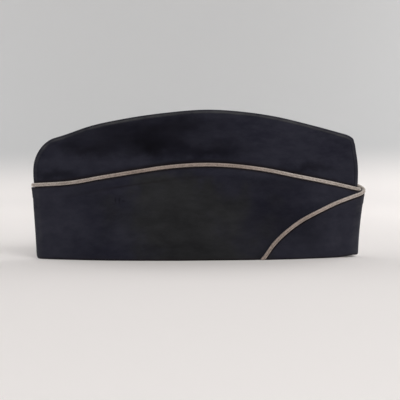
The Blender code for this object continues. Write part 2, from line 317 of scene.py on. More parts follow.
camera = bpy.data.objects.new("camera", bpy.data.cameras.new("camera"))
camera.data.sensor_width, camera.data.lens = SENSOR_WIDTH, LENS
camera.location = CAMERA_PLACE
camera.rotation_euler = (CAMERA_AIM - CAMERA_PLACE).to_track_quat("-Z", "Y").to_euler()
bpy.context.scene.collection.objects.link(camera)
bpy.context.scene.camera = camera
print("the camera is", round((CAMERA_AIM - CAMERA_PLACE).length, 3), "m from where it looks")

# %% [markdown]
# ## The form: one hollow that every layer follows
#
# All the layers of the cap lie on each other, so they share one shape, the hollow that holds the
# head. Each panel could be modelled by hand, but then the layers would poke through each other.
# Here the hollow is a formula with short tables for what a side view shows: the two ends, the top
# seam and the curtain's edges. A layer is the hollow moved outwards by a distance. A place on it
# is said by along, from -1 at the back to 1 at the front, and by its height.

# %% Sizes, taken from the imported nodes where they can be
CROWN_CLOTH = 0.0018
CURTAIN_CLOTH = 0.0022
SEAM_GAP = 0.0003
PANEL_GAP = 0.00004  # between the two crown panels, which are sewn together
crown_low, crown_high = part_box("crown_right")
MIDDLE = np.array([(crown_low.x + crown_high.x) / 2, crown_high.y + SEAM_GAP / 2, 0.0])
HALF_LENGTH = 0.1405
SEAM_DIP = 0.30  # share of its thickness that the cloth loses at the seam
FORM_HEIGHT = crown_high.z - (1 - SEAM_DIP / 2) * CROWN_CLOTH
RIM_WIDTH = 0.0620  # inside, at the middle of the opening
PLAN_FULLNESS, SIDE_FULLNESS = 2.5, 1.8  # 2 is a parabola, and more stays wide for longer
END_ROUND, END_TUCK = 0.0042, 0.0018  # how the two ends are rounded in to the rim
BACK_CORNER = (0.0176, 0.0216)  # length and height of the crown's rounded corners
FRONT_CORNER = (0.0066, 0.0072)
NUB, NUB_HEIGHT, NUB_SPREAD = 0.0011, 0.1028, 0.0020  # cloth bunched below the front corner
SLOPE_STEP = 0.001  # share of a size over which a slope is measured
print("the form is", mm(2 * HALF_LENGTH), "mm long and", mm(FORM_HEIGHT), "mm high")


# %% Reading a table on a smooth curve
def curve_through(keys, values):
    """A function that reads arrays on a smooth curve through a table's points."""
    keys, values = np.array(keys), np.array(values)
    slopes = np.gradient(values, keys)

    def read(at):
        at = np.clip(at, keys[0], keys[-1])
        low = np.clip(np.searchsorted(keys, at, side="right") - 1, 0, len(keys) - 2)
        span = keys[low + 1] - keys[low]
        t = (at - keys[low]) / span
        rise = values[low + 1] - values[low]
        start, end = slopes[low] * span, slopes[low + 1] * span
        return values[low] + rise * t + t * (t - 1) * ((t - 1) * (start - rise) + t * (end - rise))

    return read


def ease(share):
    """Goes smoothly from 0 to 1 while share does."""
    share = np.clip(share, 0.0, 1.0)
    return share * share * (3 - 2 * share)


def crowded(count, amount):
    """Numbers from 0 to 1, even where amount is 0 and closer together near both ends above it."""
    share = np.linspace(0, 1, count)
    return (1 - amount) * share + amount * ease(share)


def hill(distance, spread):
    """Falls softly from 1 where distance is 0 towards 0 beyond spread."""
    return np.exp(-((distance / spread) ** 2))


def corner_drop(inset, size):
    """How far a rounded corner falls short, at a distance in from where it starts."""
    reach = np.clip(inset / size[0], 0.0, 1.0)
    return size[1] * (1 - np.sqrt(1 - (1 - reach) ** 2))


print("half way, a smooth rise is at", ease(0.5), "and a hill at", round(hill(0.5, 1.0), 2))

# %% What the side view shows, as tables
# The crown's two ends, as shares of half the length, at shares of the height.
END_HEIGHTS = [0.00, 0.16, 0.33, 0.46, 0.53, 0.64, 0.74, 0.85, 1.00]
BACK_END = [0.959, 0.967, 0.977, 0.986, 0.997, 1.000, 1.000, 0.998, 0.996]
FRONT_END = [0.961, 0.968, 0.981, 0.993, 0.997, 0.996, 0.983, 0.969, 0.961]
back_end, front_end = curve_through(END_HEIGHTS, BACK_END), curve_through(END_HEIGHTS, FRONT_END)
# The top seam's height as a share of the form's, and the curtain's edge as a share of the
# curtain's.
top_seam = curve_through(
    [-1.00, -0.83, -0.65, -0.46, -0.19, 0.09, 0.28, 0.50, 0.74, 1.00],
    [0.768, 0.821, 0.888, 0.933, 0.977, 1.000, 0.989, 0.957, 0.897, 0.821],
)
EDGE_PLACES = [-1.00, -0.78, -0.58, -0.38, -0.19, 0.05, 0.20, 0.40, 0.60, 0.80, 1.00]
BOTH_EDGES = [0.780, 0.807, 0.867, 0.926, 0.975, 1.000, 0.988, 0.942]
right_curtain = curve_through(EDGE_PLACES, BOTH_EDGES + [0.872, 0.803, 0.727])
left_curtain = curve_through(EDGE_PLACES, BOTH_EDGES + [0.876, 0.820, 0.768])
# The slanting edge, from its upper end in front to its lower end at the rim.
slant = curve_through(
    [0.00, 0.138, 0.325, 0.493, 0.633, 0.750, 0.840, 0.916, 1.00],
    [1.000, 0.930, 0.815, 0.690, 0.566, 0.440, 0.313, 0.180, 0.005],
)
print("the top seam is highest at a share of", round(float(top_seam(0.09)), 3))

# %% Dents and bulges of the two sides
# A cap that is stored flat keeps soft hollows where hands have pressed it. Each row is one of
# them: sign is -1 on the right side, along and height are its middle, length and rise its spread,
# all as shares, and depth is the share of the width that it takes away, or adds where it is below
# zero.
Dent = namedtuple("Dent", "sign along height length rise depth")
DENTS = [
    Dent(-1, -0.38, 0.74, 0.34, 0.20, 0.16),
    Dent(-1, -0.80, 0.60, 0.20, 0.22, -0.12),
    Dent(-1, 0.36, 0.12, 0.12, 0.14, 0.035),
    Dent(-1, 0.45, 0.70, 0.28, 0.18, -0.05),
    Dent(1, 0.30, 0.74, 0.36, 0.20, 0.13),
    Dent(1, -0.55, 0.68, 0.26, 0.20, 0.07),
]
RIPPLE = 0.00030  # how high the cloth's slow unevenness is
RIPPLE_LENGTHS = (0.022, 0.085)  # from its shortest wave to its longest
RIPPLE_WAVES = 14

random = np.random.default_rng(11)
wave_turns = random.uniform(0, np.pi, RIPPLE_WAVES)
wave_counts = 2 * np.pi / random.uniform(*RIPPLE_LENGTHS, RIPPLE_WAVES)
wave_starts = random.uniform(0, 2 * np.pi, (RIPPLE_WAVES, 2))


def ripple(sign, x, z):
    """Slow unevenness of cloth, the same for every layer of one side."""
    total = 0.0
    for turn, count, starts in zip(wave_turns, wave_counts, wave_starts):
        start = np.where(sign < 0, *starts)
        total = total + np.sin(count * (x * np.cos(turn) + z * np.sin(turn)) + start)
    return RIPPLE * total / np.sqrt(RIPPLE_WAVES / 2)


# %% The form itself
def form_x(along, z):
    tuck = corner_drop(z, (END_ROUND, END_TUCK))
    back = tuck - HALF_LENGTH * back_end(z / FORM_HEIGHT)
    front = HALF_LENGTH * front_end(z / FORM_HEIGHT) - tuck + NUB * hill(z - NUB_HEIGHT, NUB_SPREAD)
    return back + (front - back) * (along + 1) / 2


def along_at(x, z):
    """The reverse of form_x: how far along, from -1 to 1, a place is at its height."""
    back, front = form_x(-1, z), form_x(1, z)
    return 2 * (x - back) / (front - back) - 1


def seam_height(along):
    height = FORM_HEIGHT * top_seam(along)
    height = height - corner_drop((1 + along) * HALF_LENGTH, BACK_CORNER)
    return height - corner_drop((1 - along) * HALF_LENGTH, FRONT_CORNER)


def half_width(sign, along, z):
    up = np.minimum(z / seam_height(along), 1.0)
    ends, top = 1 - np.abs(along) ** PLAN_FULLNESS, 1 - up ** SIDE_FULLNESS
    width = RIM_WIDTH / 2 * ends * top
    for dent in DENTS:
        far = ((along - dent.along) / dent.length) ** 2
        high = ((z / FORM_HEIGHT - dent.height) / dent.rise) ** 2
        width = width * (1 - np.where(sign == dent.sign, dent.depth, 0.0) * np.exp(-far - high))
    fade = ease(4 * ends) * ease(3 * top)  # no unevenness where the two sides meet
    return PANEL_GAP / 2 + width + fade * ripple(sign, form_x(along, z), z)


def form_point(sign, along, z):
    """Points of the form, in metres, in the part's own frame."""
    sign, along, z = np.broadcast_arrays(sign, along, z)
    return np.stack([form_x(along, z), sign * half_width(sign, along, z), z], axis=-1) + MIDDLE


def unit(vectors):
    return vectors / np.linalg.norm(vectors, axis=-1, keepdims=True)


print("half the opening is", mm(half_width(-1, 0.0, 0.0)), "mm wide")

# %% [markdown]
# ## Turning rings of points into cloth
#
# Every cloth piece is a loft: a row of closed sections, each of which runs up the inside of the
# cloth, over its edge and down the outside. Solidify could thicken a single sheet, but it can't
# round a fold at the rim or turn an edge over at a seam. The loft also carries two lengths for
# the weave, one along the piece and one up it, as a UV map in metres, and how pale each point is,
# from wear and painted highlight, and how dark, from dirt and painted shade.

# %% The loft
Cloth = namedtuple("Cloth", "points run rise worn soil")


def loft(name, cloth):
    """A closed mesh through sections, arrays of [section, point]. Strips close its two ends."""
    shape = sections, size = cloth.points.shape[:2]
    number = np.arange(sections * size).reshape(shape)
    after = np.roll(number, -1, axis=1)
    walls = np.stack([number[:-1], after[:-1], after[1:], number[1:]], axis=-1).reshape(-1, 4)
    half = size // 2 - 1
    caps = []
    for end in (number[0], number[-1]):
        back = end[::-1]
        ring = [end[:half], end[1 : half + 1], back[1 : half + 1], back[:half]]
        caps.append(np.stack(ring, axis=-1))
    faces = np.concatenate([walls, *caps]).tolist()
    mesh = bpy.data.meshes.new(name)
    mesh.from_pydata(cloth.points.reshape(-1, 3).tolist(), [], faces)
    for key in ("run", "rise", "worn", "soil"):
        values = np.broadcast_to(getattr(cloth, key), shape).ravel().astype(np.float32)
        mesh.attributes.new(key, "FLOAT", "POINT").data.foreach_set("value", values)
    with reworking(mesh) as work:
        close(work, distance=2e-6)
    lay_out(mesh)
    mesh.shade_smooth()
    return add_mesh(name, mesh)


def lay_out(mesh):
    """Writes the two lengths to a UV map, in metres."""
    lengths = np.zeros((2, len(mesh.vertices)), np.float32)
    for row, key in zip(lengths, ("run", "rise")):
        mesh.attributes[key].data.foreach_get("value", row)
    corner = np.zeros(len(mesh.loops), np.int32)
    mesh.loops.foreach_get("vertex_index", corner)
    layer = mesh.uv_layers.new(name="cloth")
    layer.data.foreach_set("uv", lengths[:, corner].T.ravel())
    for key in ("run", "rise"):
        mesh.attributes.remove(mesh.attributes[key])


def length_along(points):
    """Running length along a row of points."""
    steps = np.linalg.norm(np.diff(points, axis=0), axis=-1)
    return np.concatenate([[0.0], np.cumsum(steps)])


# %% [markdown]
# ## The crown
#
# Each crown panel is one piece of cloth. At the back, the top and the front its edge is turned in
# and sewn to the other panel, which leaves a rounded rolled edge with a groove between the two. A
# row of stitches runs beside the edge and holds the turned-in cloth down, so the cloth is thicker
# there, and the thread draws it up into small uneven waves. A bevel on a thickened sheet would
# give a smooth edge with none of this. Here the panel is a fine grid on the form, and its outside
# is set off by the cloth's thickness, more beside the seam, less on the line of stitches, and
# waving a little near both.

# %% Shape of the rolled edge
CROWN_RIM_LIFT = 0.0014  # the crown's rim is sewn in just above the curtain's fold
ROLL_STEPS = 8
ROLL_SHARES = np.arange(ROLL_STEPS) / ROLL_STEPS  # from the seam, 0, towards the outside, 1
DIP_REACH = 0.5  # share of the roll over which the cloth bends in
CROWN_COLUMNS, CORNER_COLUMNS = 210, 16
CROWN_ROWS, CROWN_CROWDING = 84, 0.28  # rows up a panel, and how they crowd at its ends
WELT_WIDTH, WELT = 0.0014, 0.00030  # turned-in cloth beside the seam
STITCH_LINE, STITCH_SINK = 0.0024, 0.00036  # the line's distance from the seam, and its depth
STITCH_SPREAD = 0.0007
SHOWN_RISE = 0.004  # height above the curtain over which all this sets in
PALE_LINE, PALE_WIDTH = 0.0009, 0.0008  # the pale line beside the seam, wear and painted highlight, from it and its own width
ROLL_PALE, END_PALE = 0.35, 0.30  # its shares on the roll itself, a painted highlight where light catches the edge, and at the two ends
END_LENGTH = 0.06  # share of half the length over which it fades to an end
PUCKER, PUCKER_LENGTH = 0.00016, 0.0105  # waves where a sewn edge draws the cloth up
PUCKER_START, PUCKER_REACH = 0.002, 0.0065  # from the edge, where they are full and faint
PUCKER_DRIFT, DRIFT_LENGTH = 1.7, 0.047  # how unevenly they follow each other
CURTAIN_TOP = 0.0789  # the curtain's edge at its highest
PIPING_RADIUS = 0.0016
DIRT_AND_SHADE_WIDTH = 0.0034  # of the dark line on the crown above the piping, dirt and painted shade
NEAREST_BLOCKS = 40  # keeps the table of distances small


# %% Where the crown's columns and rows stand
def side_columns():
    """Where the columns stand along a side, closer together in the crown's rounded corners."""
    back, front = BACK_CORNER[0] / HALF_LENGTH, FRONT_CORNER[0] / HALF_LENGTH
    turn = np.linspace(0, np.pi / 2, CORNER_COLUMNS + 1)[:-1]
    middle = np.linspace(-1 + back, 1 - front, CROWN_COLUMNS)
    down_back, down_front = 1 - np.cos(turn), 1 - np.cos(turn[::-1])
    return np.concatenate([-1 + back * down_back, middle, 1 - front * down_front])


def crown_rows(along):
    """Heights up the panel, closer together near the rim and near the seam."""
    rise = seam_height(along)[:, None] - CROWN_RIM_LIFT
    return CROWN_RIM_LIFT + rise * crowded(CROWN_ROWS, CROWN_CROWDING)


def cloth_normal(sign, along, z):
    """The outward direction of the crown's cloth, from steps towards its middle and its rim."""
    here = form_point(sign, along, z)
    inwards = form_point(sign, along - np.copysign(SLOPE_STEP, along), z) - here
    down = form_point(sign, along, z - SLOPE_STEP * FORM_HEIGHT) - here
    normal = unit(np.cross(inwards, down))
    return normal * np.copysign(1, normal[..., 1:2] * sign)


print(len(side_columns()), "columns and", CROWN_ROWS, "rows on each crown panel")


# %% The turned-in cloth, the waves and the roll
def edge_thickness(distance):
    """The extra thickness beside the seam, at a distance from it."""
    welt = WELT * (1 - ease((distance - WELT_WIDTH) / STITCH_SPREAD))
    return welt - STITCH_SINK * hill(distance - STITCH_LINE, STITCH_SPREAD)


def pucker(run, distance):
    """Small uneven waves beside a sewn edge, at a length along it and a distance from it."""
    drift = PUCKER_DRIFT * np.sin(2 * np.pi * run / DRIFT_LENGTH)
    wave = np.sin(2 * np.pi * run / PUCKER_LENGTH + drift)
    return PUCKER * wave * np.exp(-distance / PUCKER_REACH) * ease(distance / PUCKER_START)


def rolled(full, turn):
    """The cloth's thickness on the roll, full where turn is 1. Beside the seam it bends in."""
    dip = SEAM_DIP * (1 - ease(turn / DIP_REACH))
    return (CROWN_CLOTH + (full - CROWN_CLOTH) * turn) * (1 - dip)


def nearest(points, line):
    """Distance in the side view from points to a line of points."""
    flat, line = points[..., [0, 2]].reshape(-1, 1, 2), line[None, :, [0, 2]]
    blocks = np.array_split(flat, NEAREST_BLOCKS)
    distances = [np.linalg.norm(block - line, axis=-1).min(axis=1) for block in blocks]
    return np.concatenate(distances).reshape(points.shape[:-1])


print("the cloth is", mm(CROWN_CLOTH + edge_thickness(0.0)), "mm thick beside the seam and",
      mm(CROWN_CLOTH + edge_thickness(STITCH_LINE)), "mm on the line of stitches")


# %% The two panels
def swing(start, end, share):
    """Directions part of the way from one to another, on the arc between them."""
    angle = np.arccos(np.clip((start * end).sum(axis=-1, keepdims=True), -1.0, 1.0))
    angle = np.maximum(angle, 1e-4)
    return (np.sin((1 - share) * angle) * start + np.sin(share * angle) * end) / np.sin(angle)


def outline_of(skin):
    """The panel's edge up the back, over the top and down the front."""
    return np.concatenate([skin[0], skin[1:-1, -1], skin[-1][::-1]])


def crown_panel(name, sign):
    columns = side_columns()
    heights = crown_rows(columns)
    skin = form_point(sign, columns[:, None], heights)
    normals = cloth_normal(sign, columns[:, None], heights)
    outline = outline_of(skin)
    runs = np.gradient(outline, axis=0)
    away = unit(np.stack([-runs[:, 2], 0 * runs[:, 1], runs[:, 0]], axis=-1))
    rows = CROWN_ROWS
    over = np.concatenate([away[rows - 1 : rows], away[rows:-rows], away[-rows : 1 - rows]])
    distance = nearest(skin, outline)
    over_edge = heights - CURTAIN_TOP * right_curtain(columns)[:, None]
    relief = edge_thickness(distance) + pucker(skin[..., 0], distance)
    thickness = CROWN_CLOTH + ease(over_edge / SHOWN_RISE) * relief
    # Paleness here is wear and painted highlight, and the darkening above the piping is dirt and
    # painted shade.
    edge_paleness = END_PALE + (1 - END_PALE) * ease((1 - np.abs(columns)) / END_LENGTH)
    worn = hill(distance - PALE_LINE, PALE_WIDTH) * edge_paleness[:, None]
    soil = 1 - ease((over_edge - 2 * PIPING_RADIUS) / DIRT_AND_SHADE_WIDTH)
    sections = []

    def section(number, turn, edge):
        """One section. turn is 1 where the cloth lies on its normal, and 0 on the seam's plane."""
        inside, normal, reach = skin[number], normals[number], thickness[number][:, None]
        outside = inside + rolled(reach, turn) * swing(edge, normal, turn)
        share = np.minimum(ROLL_SHARES, turn)[:, None]
        roll = inside[-1] + rolled(reach[-1], share) * swing(over[number][None], normal[-1:], share)
        rise = length_along(inside)
        roll_paleness = ROLL_PALE * ease(ROLL_SHARES * 1.3) * edge_paleness[number]
        sections.append((
            np.concatenate([inside, roll, outside[::-1]]),
            np.full(2 * rows + ROLL_STEPS, inside[:, 0].mean()),
            np.concatenate([rise, np.full(ROLL_STEPS, rise[-1]), rise[::-1]]),
            np.concatenate([0 * rise, roll_paleness, worn[number][::-1]]),
            np.concatenate([0 * rise, np.zeros(ROLL_STEPS), soil[number][::-1]]),
        ))

    for turn in ROLL_SHARES:
        section(0, turn, away[:rows])
    for number in range(len(columns)):
        section(number, 1.0, away[:rows])
    for turn in ROLL_SHARES[::-1]:
        section(len(columns) - 1, turn, away[-rows:][::-1])
    return loft(name, Cloth(*(np.array(parts) for parts in zip(*sections))))


crown_right = crown_panel("crown_right_cloth", -1)
crown_left = crown_panel("crown_left_cloth", 1)

# %% [markdown]
# ## The curtain
#
# The curtain is a band of doubled cloth. It is folded at the rim, stands up round the crown and
# ends in an edge with piping. The right half goes from the back seam along the right side, and
# its front end is tucked under the left half. The left half goes along the left side, swings
# round the front and comes back on the right side, where its edge slants down to the rim. A
# little below the piping a faint step shows where the cloth that is turned in ends. Both halves
# are lofts again, because a bent strip couldn't change its height along the way, and a section is
# a long loop: down the inside, round the fold, up the outside and over the edge.

# %% How the curtain stands round the crown
STEEPEST_LEAN = np.radians(27)  # of the crown's cloth, where the curtain covers it
CROWN_REACH = CROWN_CLOTH / np.cos(STEEPEST_LEAN) + SEAM_GAP
STAND_OFF = 0.0016  # of the curtain's upper edge at mid length
NOSE_FLARE, NOSE_HEIGHT = 0.0012, 0.0565  # the wrapped front stands off at its upper edge
LAP_LENGTH = 0.0300  # over which the left half moves out, over the right one
FLAP_HEIGHT = 0.0529  # the upper end of the left half's slanting edge
FLAP_REACH = 0.0527  # its lower end, forwards from the middle
SLANT_END = along_at(FLAP_REACH, 0.0)
FRONT_LIFT, LIFT_LENGTH = 0.0014, 0.0200  # the fold rises a little at the front
RIGHT_END_TURN = 0.5  # the right half's share of the way round the front
NOSE_STEPS, SLANT_STEPS = 18, 109  # sections round an end and down the slant

Places = namedtuple("Places", "sign along turn")


def outward(places, z):
    """Level directions away from the form. turn swings them from the side to the end."""
    behind = form_point(places.sign, np.maximum(places.along - SLOPE_STEP, -1), z)
    ahead = form_point(places.sign, np.minimum(places.along + SLOPE_STEP, 1), z)
    run = ahead - behind
    end = np.where(places.along < 0, -1, 1)
    side_angle = np.arctan2(-end * places.sign * run[..., 1], run[..., 0])
    angle = side_angle + (np.pi / 2 - side_angle) * places.turn
    return np.stack([end * np.sin(angle), places.sign * np.cos(angle), 0 * angle], axis=-1)


def layer(places, z, out):
    """Points set outwards and level from the form."""
    return form_point(places.sign, places.along, z) + out[..., None] * outward(places, z)


def side_edge(places):
    right, left = right_curtain(places.along), left_curtain(places.along)
    return CURTAIN_TOP * np.where(places.sign < 0, right, left)


def left_edge(places):
    """Height of the left half's edge, along its side, round the front and down the slant."""
    down = FLAP_HEIGHT * slant((1 - places.along) / (1 - SLANT_END))
    edge = np.where(places.sign > 0, side_edge(places), down)
    return edge + np.where(places.along > 0, (NOSE_HEIGHT - edge) * places.turn, 0.0)


def right_out(places, z):
    """From the form to the inside of the right half."""
    return CROWN_REACH + STAND_OFF * (z / side_edge(places)) ** 2 * (1 - places.along ** 2)


def left_out(places, z):
    """From the form to the inside of the left half, which passes over the right one in front."""
    near_front = ease(1 - (1 - places.along) * HALF_LENGTH / LAP_LENGTH)
    lap = np.where(places.sign > 0, near_front, 1.0)
    flare = NOSE_FLARE * near_front * (z / NOSE_HEIGHT) ** 2
    return right_out(places, z) + lap * (CURTAIN_CLOTH + SEAM_GAP) + flare


def fold_height(places):
    return FRONT_LIFT * ease(1 - (1 - places.along) * HALF_LENGTH / LIFT_LENGTH)


# %% Places along each half
def round_end(sign, along, start, end):
    steps = round(NOSE_STEPS * abs(end - start)) + 1
    return [(sign, along, turn) for turn in np.linspace(start, end, steps)]


def as_places(rows):
    """Rows of places as columns of arrays, ready to be spread over heights."""
    return Places(*np.array(rows, float).T[:, :, None])


inner_columns = side_columns()[1:-1]
right_rows = round_end(-1, -1.0, 1, 0) + [(-1, along, 0.0) for along in inner_columns]
right_rows += round_end(-1, 1.0, 0, RIGHT_END_TURN)
left_rows = round_end(1, -1.0, 1, 0) + [(1, along, 0.0) for along in inner_columns]
left_rows += round_end(1, 1.0, 0, 1) + round_end(-1, 1.0, 1, 0)
slant_share = np.linspace(0, 1, SLANT_STEPS + 1)[1:]
left_rows += [(-1, along, 0.0) for along in 1 + (SLANT_END - 1) * slant_share]
right_places, left_places = as_places(right_rows), as_places(left_rows)
print(len(right_rows), "sections on the right half and", len(left_rows), "on the left")

# %% The two halves
BAND_ROWS, BAND_CROWDING = 52, 0.25  # rows up a side, as on the crown
FOLD_STEPS = 8
EDGE_ROUND = 0.0005
BEND_SHARE, ROUND_SHARE = 0.4, 0.1  # the most of a low section that fold and edge take
LOW_RISE = 0.02  # a section lower than this has less relief
ALLOWANCE, ALLOWANCE_RISE = 0.0086, 0.00030  # cloth turned in below the piping, and how it shows
ALLOWANCE_SPREAD = 0.0011
SIDE_PALE, SIDE_START, SIDE_SPREAD = 0.24, 0.962, 0.034  # paleness towards the cap's two ends, wear and painted highlight on the rounded ends
EDGE_DIRT_AND_SHADE_WIDTH = 0.0010  # of the dark line below the piping, dirt and painted shade
CREASE, CREASE_WIDTH = 0.5, 0.0007  # a darker line of painted shade at the step of the turned-in cloth
CREASE_MIDDLE, CREASE_SPREAD = -0.3, 0.42  # where along the side it shows
# Dark under the fold at the rim: dirt and painted shade.
FOLD_DIRT_AND_SHADE, FOLD_DIRT_AND_SHADE_HEIGHT = 0.9, 0.0015


def band_section(places, edge, out):
    """The loop of a section, as heights and depths through the cloth."""
    fold = fold_height(places)
    rise = edge - fold
    bend = np.minimum(CURTAIN_CLOTH / 2, BEND_SHARE * rise)
    round_off = np.minimum(EDGE_ROUND, ROUND_SHARE * rise)
    up = fold + bend + (rise - bend - round_off) * crowded(BAND_ROWS, BAND_CROWDING)[None]
    below = edge - up
    extra = ALLOWANCE_RISE * (1 - ease((below - ALLOWANCE) / ALLOWANCE_SPREAD))
    extra = (extra + pucker(form_x(places.along, edge), below)) * ease(rise / LOW_RISE)
    turn = np.linspace(0, np.pi / 2, FOLD_STEPS + 1)[None, 1:]
    top_z = np.broadcast_to(edge, up[:, :1].shape)
    half_fold = np.broadcast_to(CURTAIN_CLOTH / 2 * (1 - np.cos(turn)), (len(up), FOLD_STEPS))

    def joined(top, middle, bottom):
        return np.concatenate([top, middle, bottom], axis=1)

    down = joined(top_z, up[:, ::-1], fold + bend * (1 - np.sin(turn)))
    inner = joined(0 * top_z + round_off, 0 * up, half_fold)
    outer = joined(0 * top_z + CURTAIN_CLOTH - round_off, (CURTAIN_CLOTH + extra)[:, ::-1],
                   CURTAIN_CLOTH - half_fold)
    heights = np.concatenate([down, down[:, ::-1]], axis=1)
    return heights, out(places, heights) + np.concatenate([inner, outer[:, ::-1]], axis=1)


def curtain(name, places, edge, out):
    heights, reach = band_section(places, edge, out)
    everywhere = Places(*(np.broadcast_to(part, heights.shape) for part in places))
    points = layer(everywhere, heights, reach)
    half_way_up_outside = points[:, points.shape[1] * 3 // 4]
    run = length_along(half_way_up_outside)[:, None]
    above, below = heights - heights.min(axis=1, keepdims=True), edge - heights
    # Paler towards the two ends: wear and painted highlight on the rounded ends.
    worn = SIDE_PALE * ease((np.abs(places.along) - SIDE_START) / SIDE_SPREAD)
    creased = CREASE * np.exp(-(((places.along - CREASE_MIDDLE) / CREASE_SPREAD) ** 4))
    # Dark below the piping, along the step and under the fold: dirt and painted shade.
    soil = hill(below, EDGE_DIRT_AND_SHADE_WIDTH) + creased * hill(below - ALLOWANCE, CREASE_WIDTH)
    soil = soil + FOLD_DIRT_AND_SHADE * hill(above, FOLD_DIRT_AND_SHADE_HEIGHT)
    return loft(name, Cloth(points, run, heights, worn, soil))


curtain_right = curtain("curtain_right_cloth", right_places, side_edge(right_places), right_out)
curtain_left = curtain("curtain_left_cloth", left_places, left_edge(left_places), left_out)

# %% [markdown]
# ## The piping
#
# The piping is a narrow braid that is folded over the edge of the curtain and sewn through its
# middle. So it shows two rounded halves with a groove between them, and its yarns slant towards
# the groove from both sides. A curve with a bevel would give a smooth tube. Geometry Nodes can
# sweep a circle along the same curve and then sink a groove and raise ribs on it that follow a
# rule, so the pattern is real relief and goes on evenly through every bend.

# %% The piping's route
SETTLE_BACK, SETTLE_FRONT = 0.0014, 0.0001  # the cord is pulled in round the two ends
CORD_TAIL = 0.0025  # drawn past the rim, and cut off flat further down


def piping_route(places, edge, out):
    """The cord's middle line, beside the cloth's edge and clear of the crown behind it."""
    rests = layer(places, edge, out(places, edge))[:, 0]
    runs = np.gradient(rests, axis=0)
    outwards = outward(places, edge)[:, 0]
    away = unit(np.cross(outwards, runs))
    away = away * np.copysign(1, away[:, 2:])
    over = form_point(places.sign, places.along, edge + 2 * PIPING_RADIUS)[:, 0]
    under = form_point(places.sign, places.along, edge)[:, 0]
    bulge = np.maximum(((over - under) * outwards).sum(axis=1, keepdims=True), 0.0)
    settle = places.turn * np.where(places.along < 0, SETTLE_BACK, SETTLE_FRONT)
    return rests + (PIPING_RADIUS + bulge - settle) * outwards + (PIPING_RADIUS + SEAM_GAP) * away


route = np.concatenate([
    piping_route(right_places, side_edge(right_places), right_out)[::-1],
    piping_route(left_places, left_edge(left_places), left_out),
])
route = route[np.concatenate([[True], np.diff(length_along(route)) > 1e-5])]
route = np.concatenate([route, route[-1:] + CORD_TAIL * unit(route[-1:] - route[-3:-2])])
print("the piping is", round(length_along(route)[-1], 3), "m long")


# %% A curve to sweep along, and a way to run a geometry tree on it
def guide_curve(name, points):
    curve = bpy.data.curves.new(name, "CURVE")
    curve.dimensions = "3D"
    line = curve.splines.new("POLY")
    line.points.add(len(points) - 1)
    line.points.foreach_set("co", np.column_stack([points, np.ones(len(points))]).ravel())
    return add_mesh(name, curve)


SOCKETS = {float: "NodeSocketFloat", int: "NodeSocketInt",
           bpy.types.Material: "NodeSocketMaterial"}


class Recipe(Tree):
    """A geometry tree. Its inputs are the geometry it works on and the named values of a table."""

    def __init__(self, name, values):
        super().__init__(bpy.data.node_groups.new(name, "GeometryNodeTree"))
        self.values = values
        face = self.tree.interface
        face.new_socket("Geometry", in_out="INPUT", socket_type="NodeSocketGeometry")
        face.new_socket("Geometry", in_out="OUTPUT", socket_type="NodeSocketGeometry")
        for key, value in values.items():
            face.new_socket(key, in_out="INPUT", socket_type=SOCKETS[type(value)])
        self.given = self.node("NodeGroupInput", output="Geometry")

    def store(self, geometry, name, value):
        settings = {"data_type": "FLOAT", "domain": "POINT"}
        return self.node("GeometryNodeStoreNamedAttribute", settings,
                         {"Geometry": geometry, "Name": name, "Value": value})

    def named(self, name):
        return self.node("GeometryNodeInputNamedAttribute", {"data_type": "FLOAT"}, {"Name": name})

    def end(self, geometry):
        """Every tree ends in real faces with their material."""
        real = self.node("GeometryNodeRealizeInstances", inputs={"Geometry": geometry})
        painted = self.node("GeometryNodeSetMaterial",
                            inputs={"Geometry": real, "Material": self.given.other("Material")})
        self.node("NodeGroupOutput", inputs={"Geometry": painted})

    def run(self, guide, name):
        """Runs the tree on an object, keeps the result as a plain mesh and removes the object."""
        modifier = guide.modifiers.new(name, "NODES")
        modifier.node_group = self.tree
        for item in self.tree.interface.items_tree:
            if item.in_out == "INPUT" and item.name in self.values:
                modifier[item.identifier] = self.values[item.name]
        seen = guide.evaluated_get(bpy.context.evaluated_depsgraph_get())
        mesh = bpy.data.meshes.new_from_object(seen)
        mesh.name = name
        guide.modifiers.remove(modifier)
        bpy.data.objects.remove(guide)
        print(name, "has", len(mesh.polygons), "faces")
        return add_mesh(name, mesh)


# %% [markdown]
# ## Finishes
#
# The cloth is serge, a twill of worsted wool dyed almost black. Up close it shows steep diagonal
# ribs, from afar only a soft mottle. Wool has fine hairs that catch light at a glance, which is
# what the shader's sheen is for. The cloth is paler beside the seam and at the two ends, partly
# where it is rubbed and partly as painted highlight. It is darker beside the piping and under the
# fold, partly dirt and partly painted shade. Light has taken some of the blue from the middle of
# the curtain. An image could carry the weave, but a wave on the UV map in metres keeps its true
# size on every piece, and the wear could be painted by hand, but short tables of soft patches are
# easier to read and to change. These patches hold pressed nap, painted shade and painted highlight.

# %% Serge
TWILL_PITCH = 0.00085  # from rib to rib, along the cloth
TWILL_SLOPE = 0.62  # how far a rib runs along for each step up
TWILL_HEIGHT = 0.00008
YARN_PITCH = 0.00052  # from yarn to yarn, along a rib
WANDER_SHARE = 0.35  # of a pitch, by which ribs and yarns wander
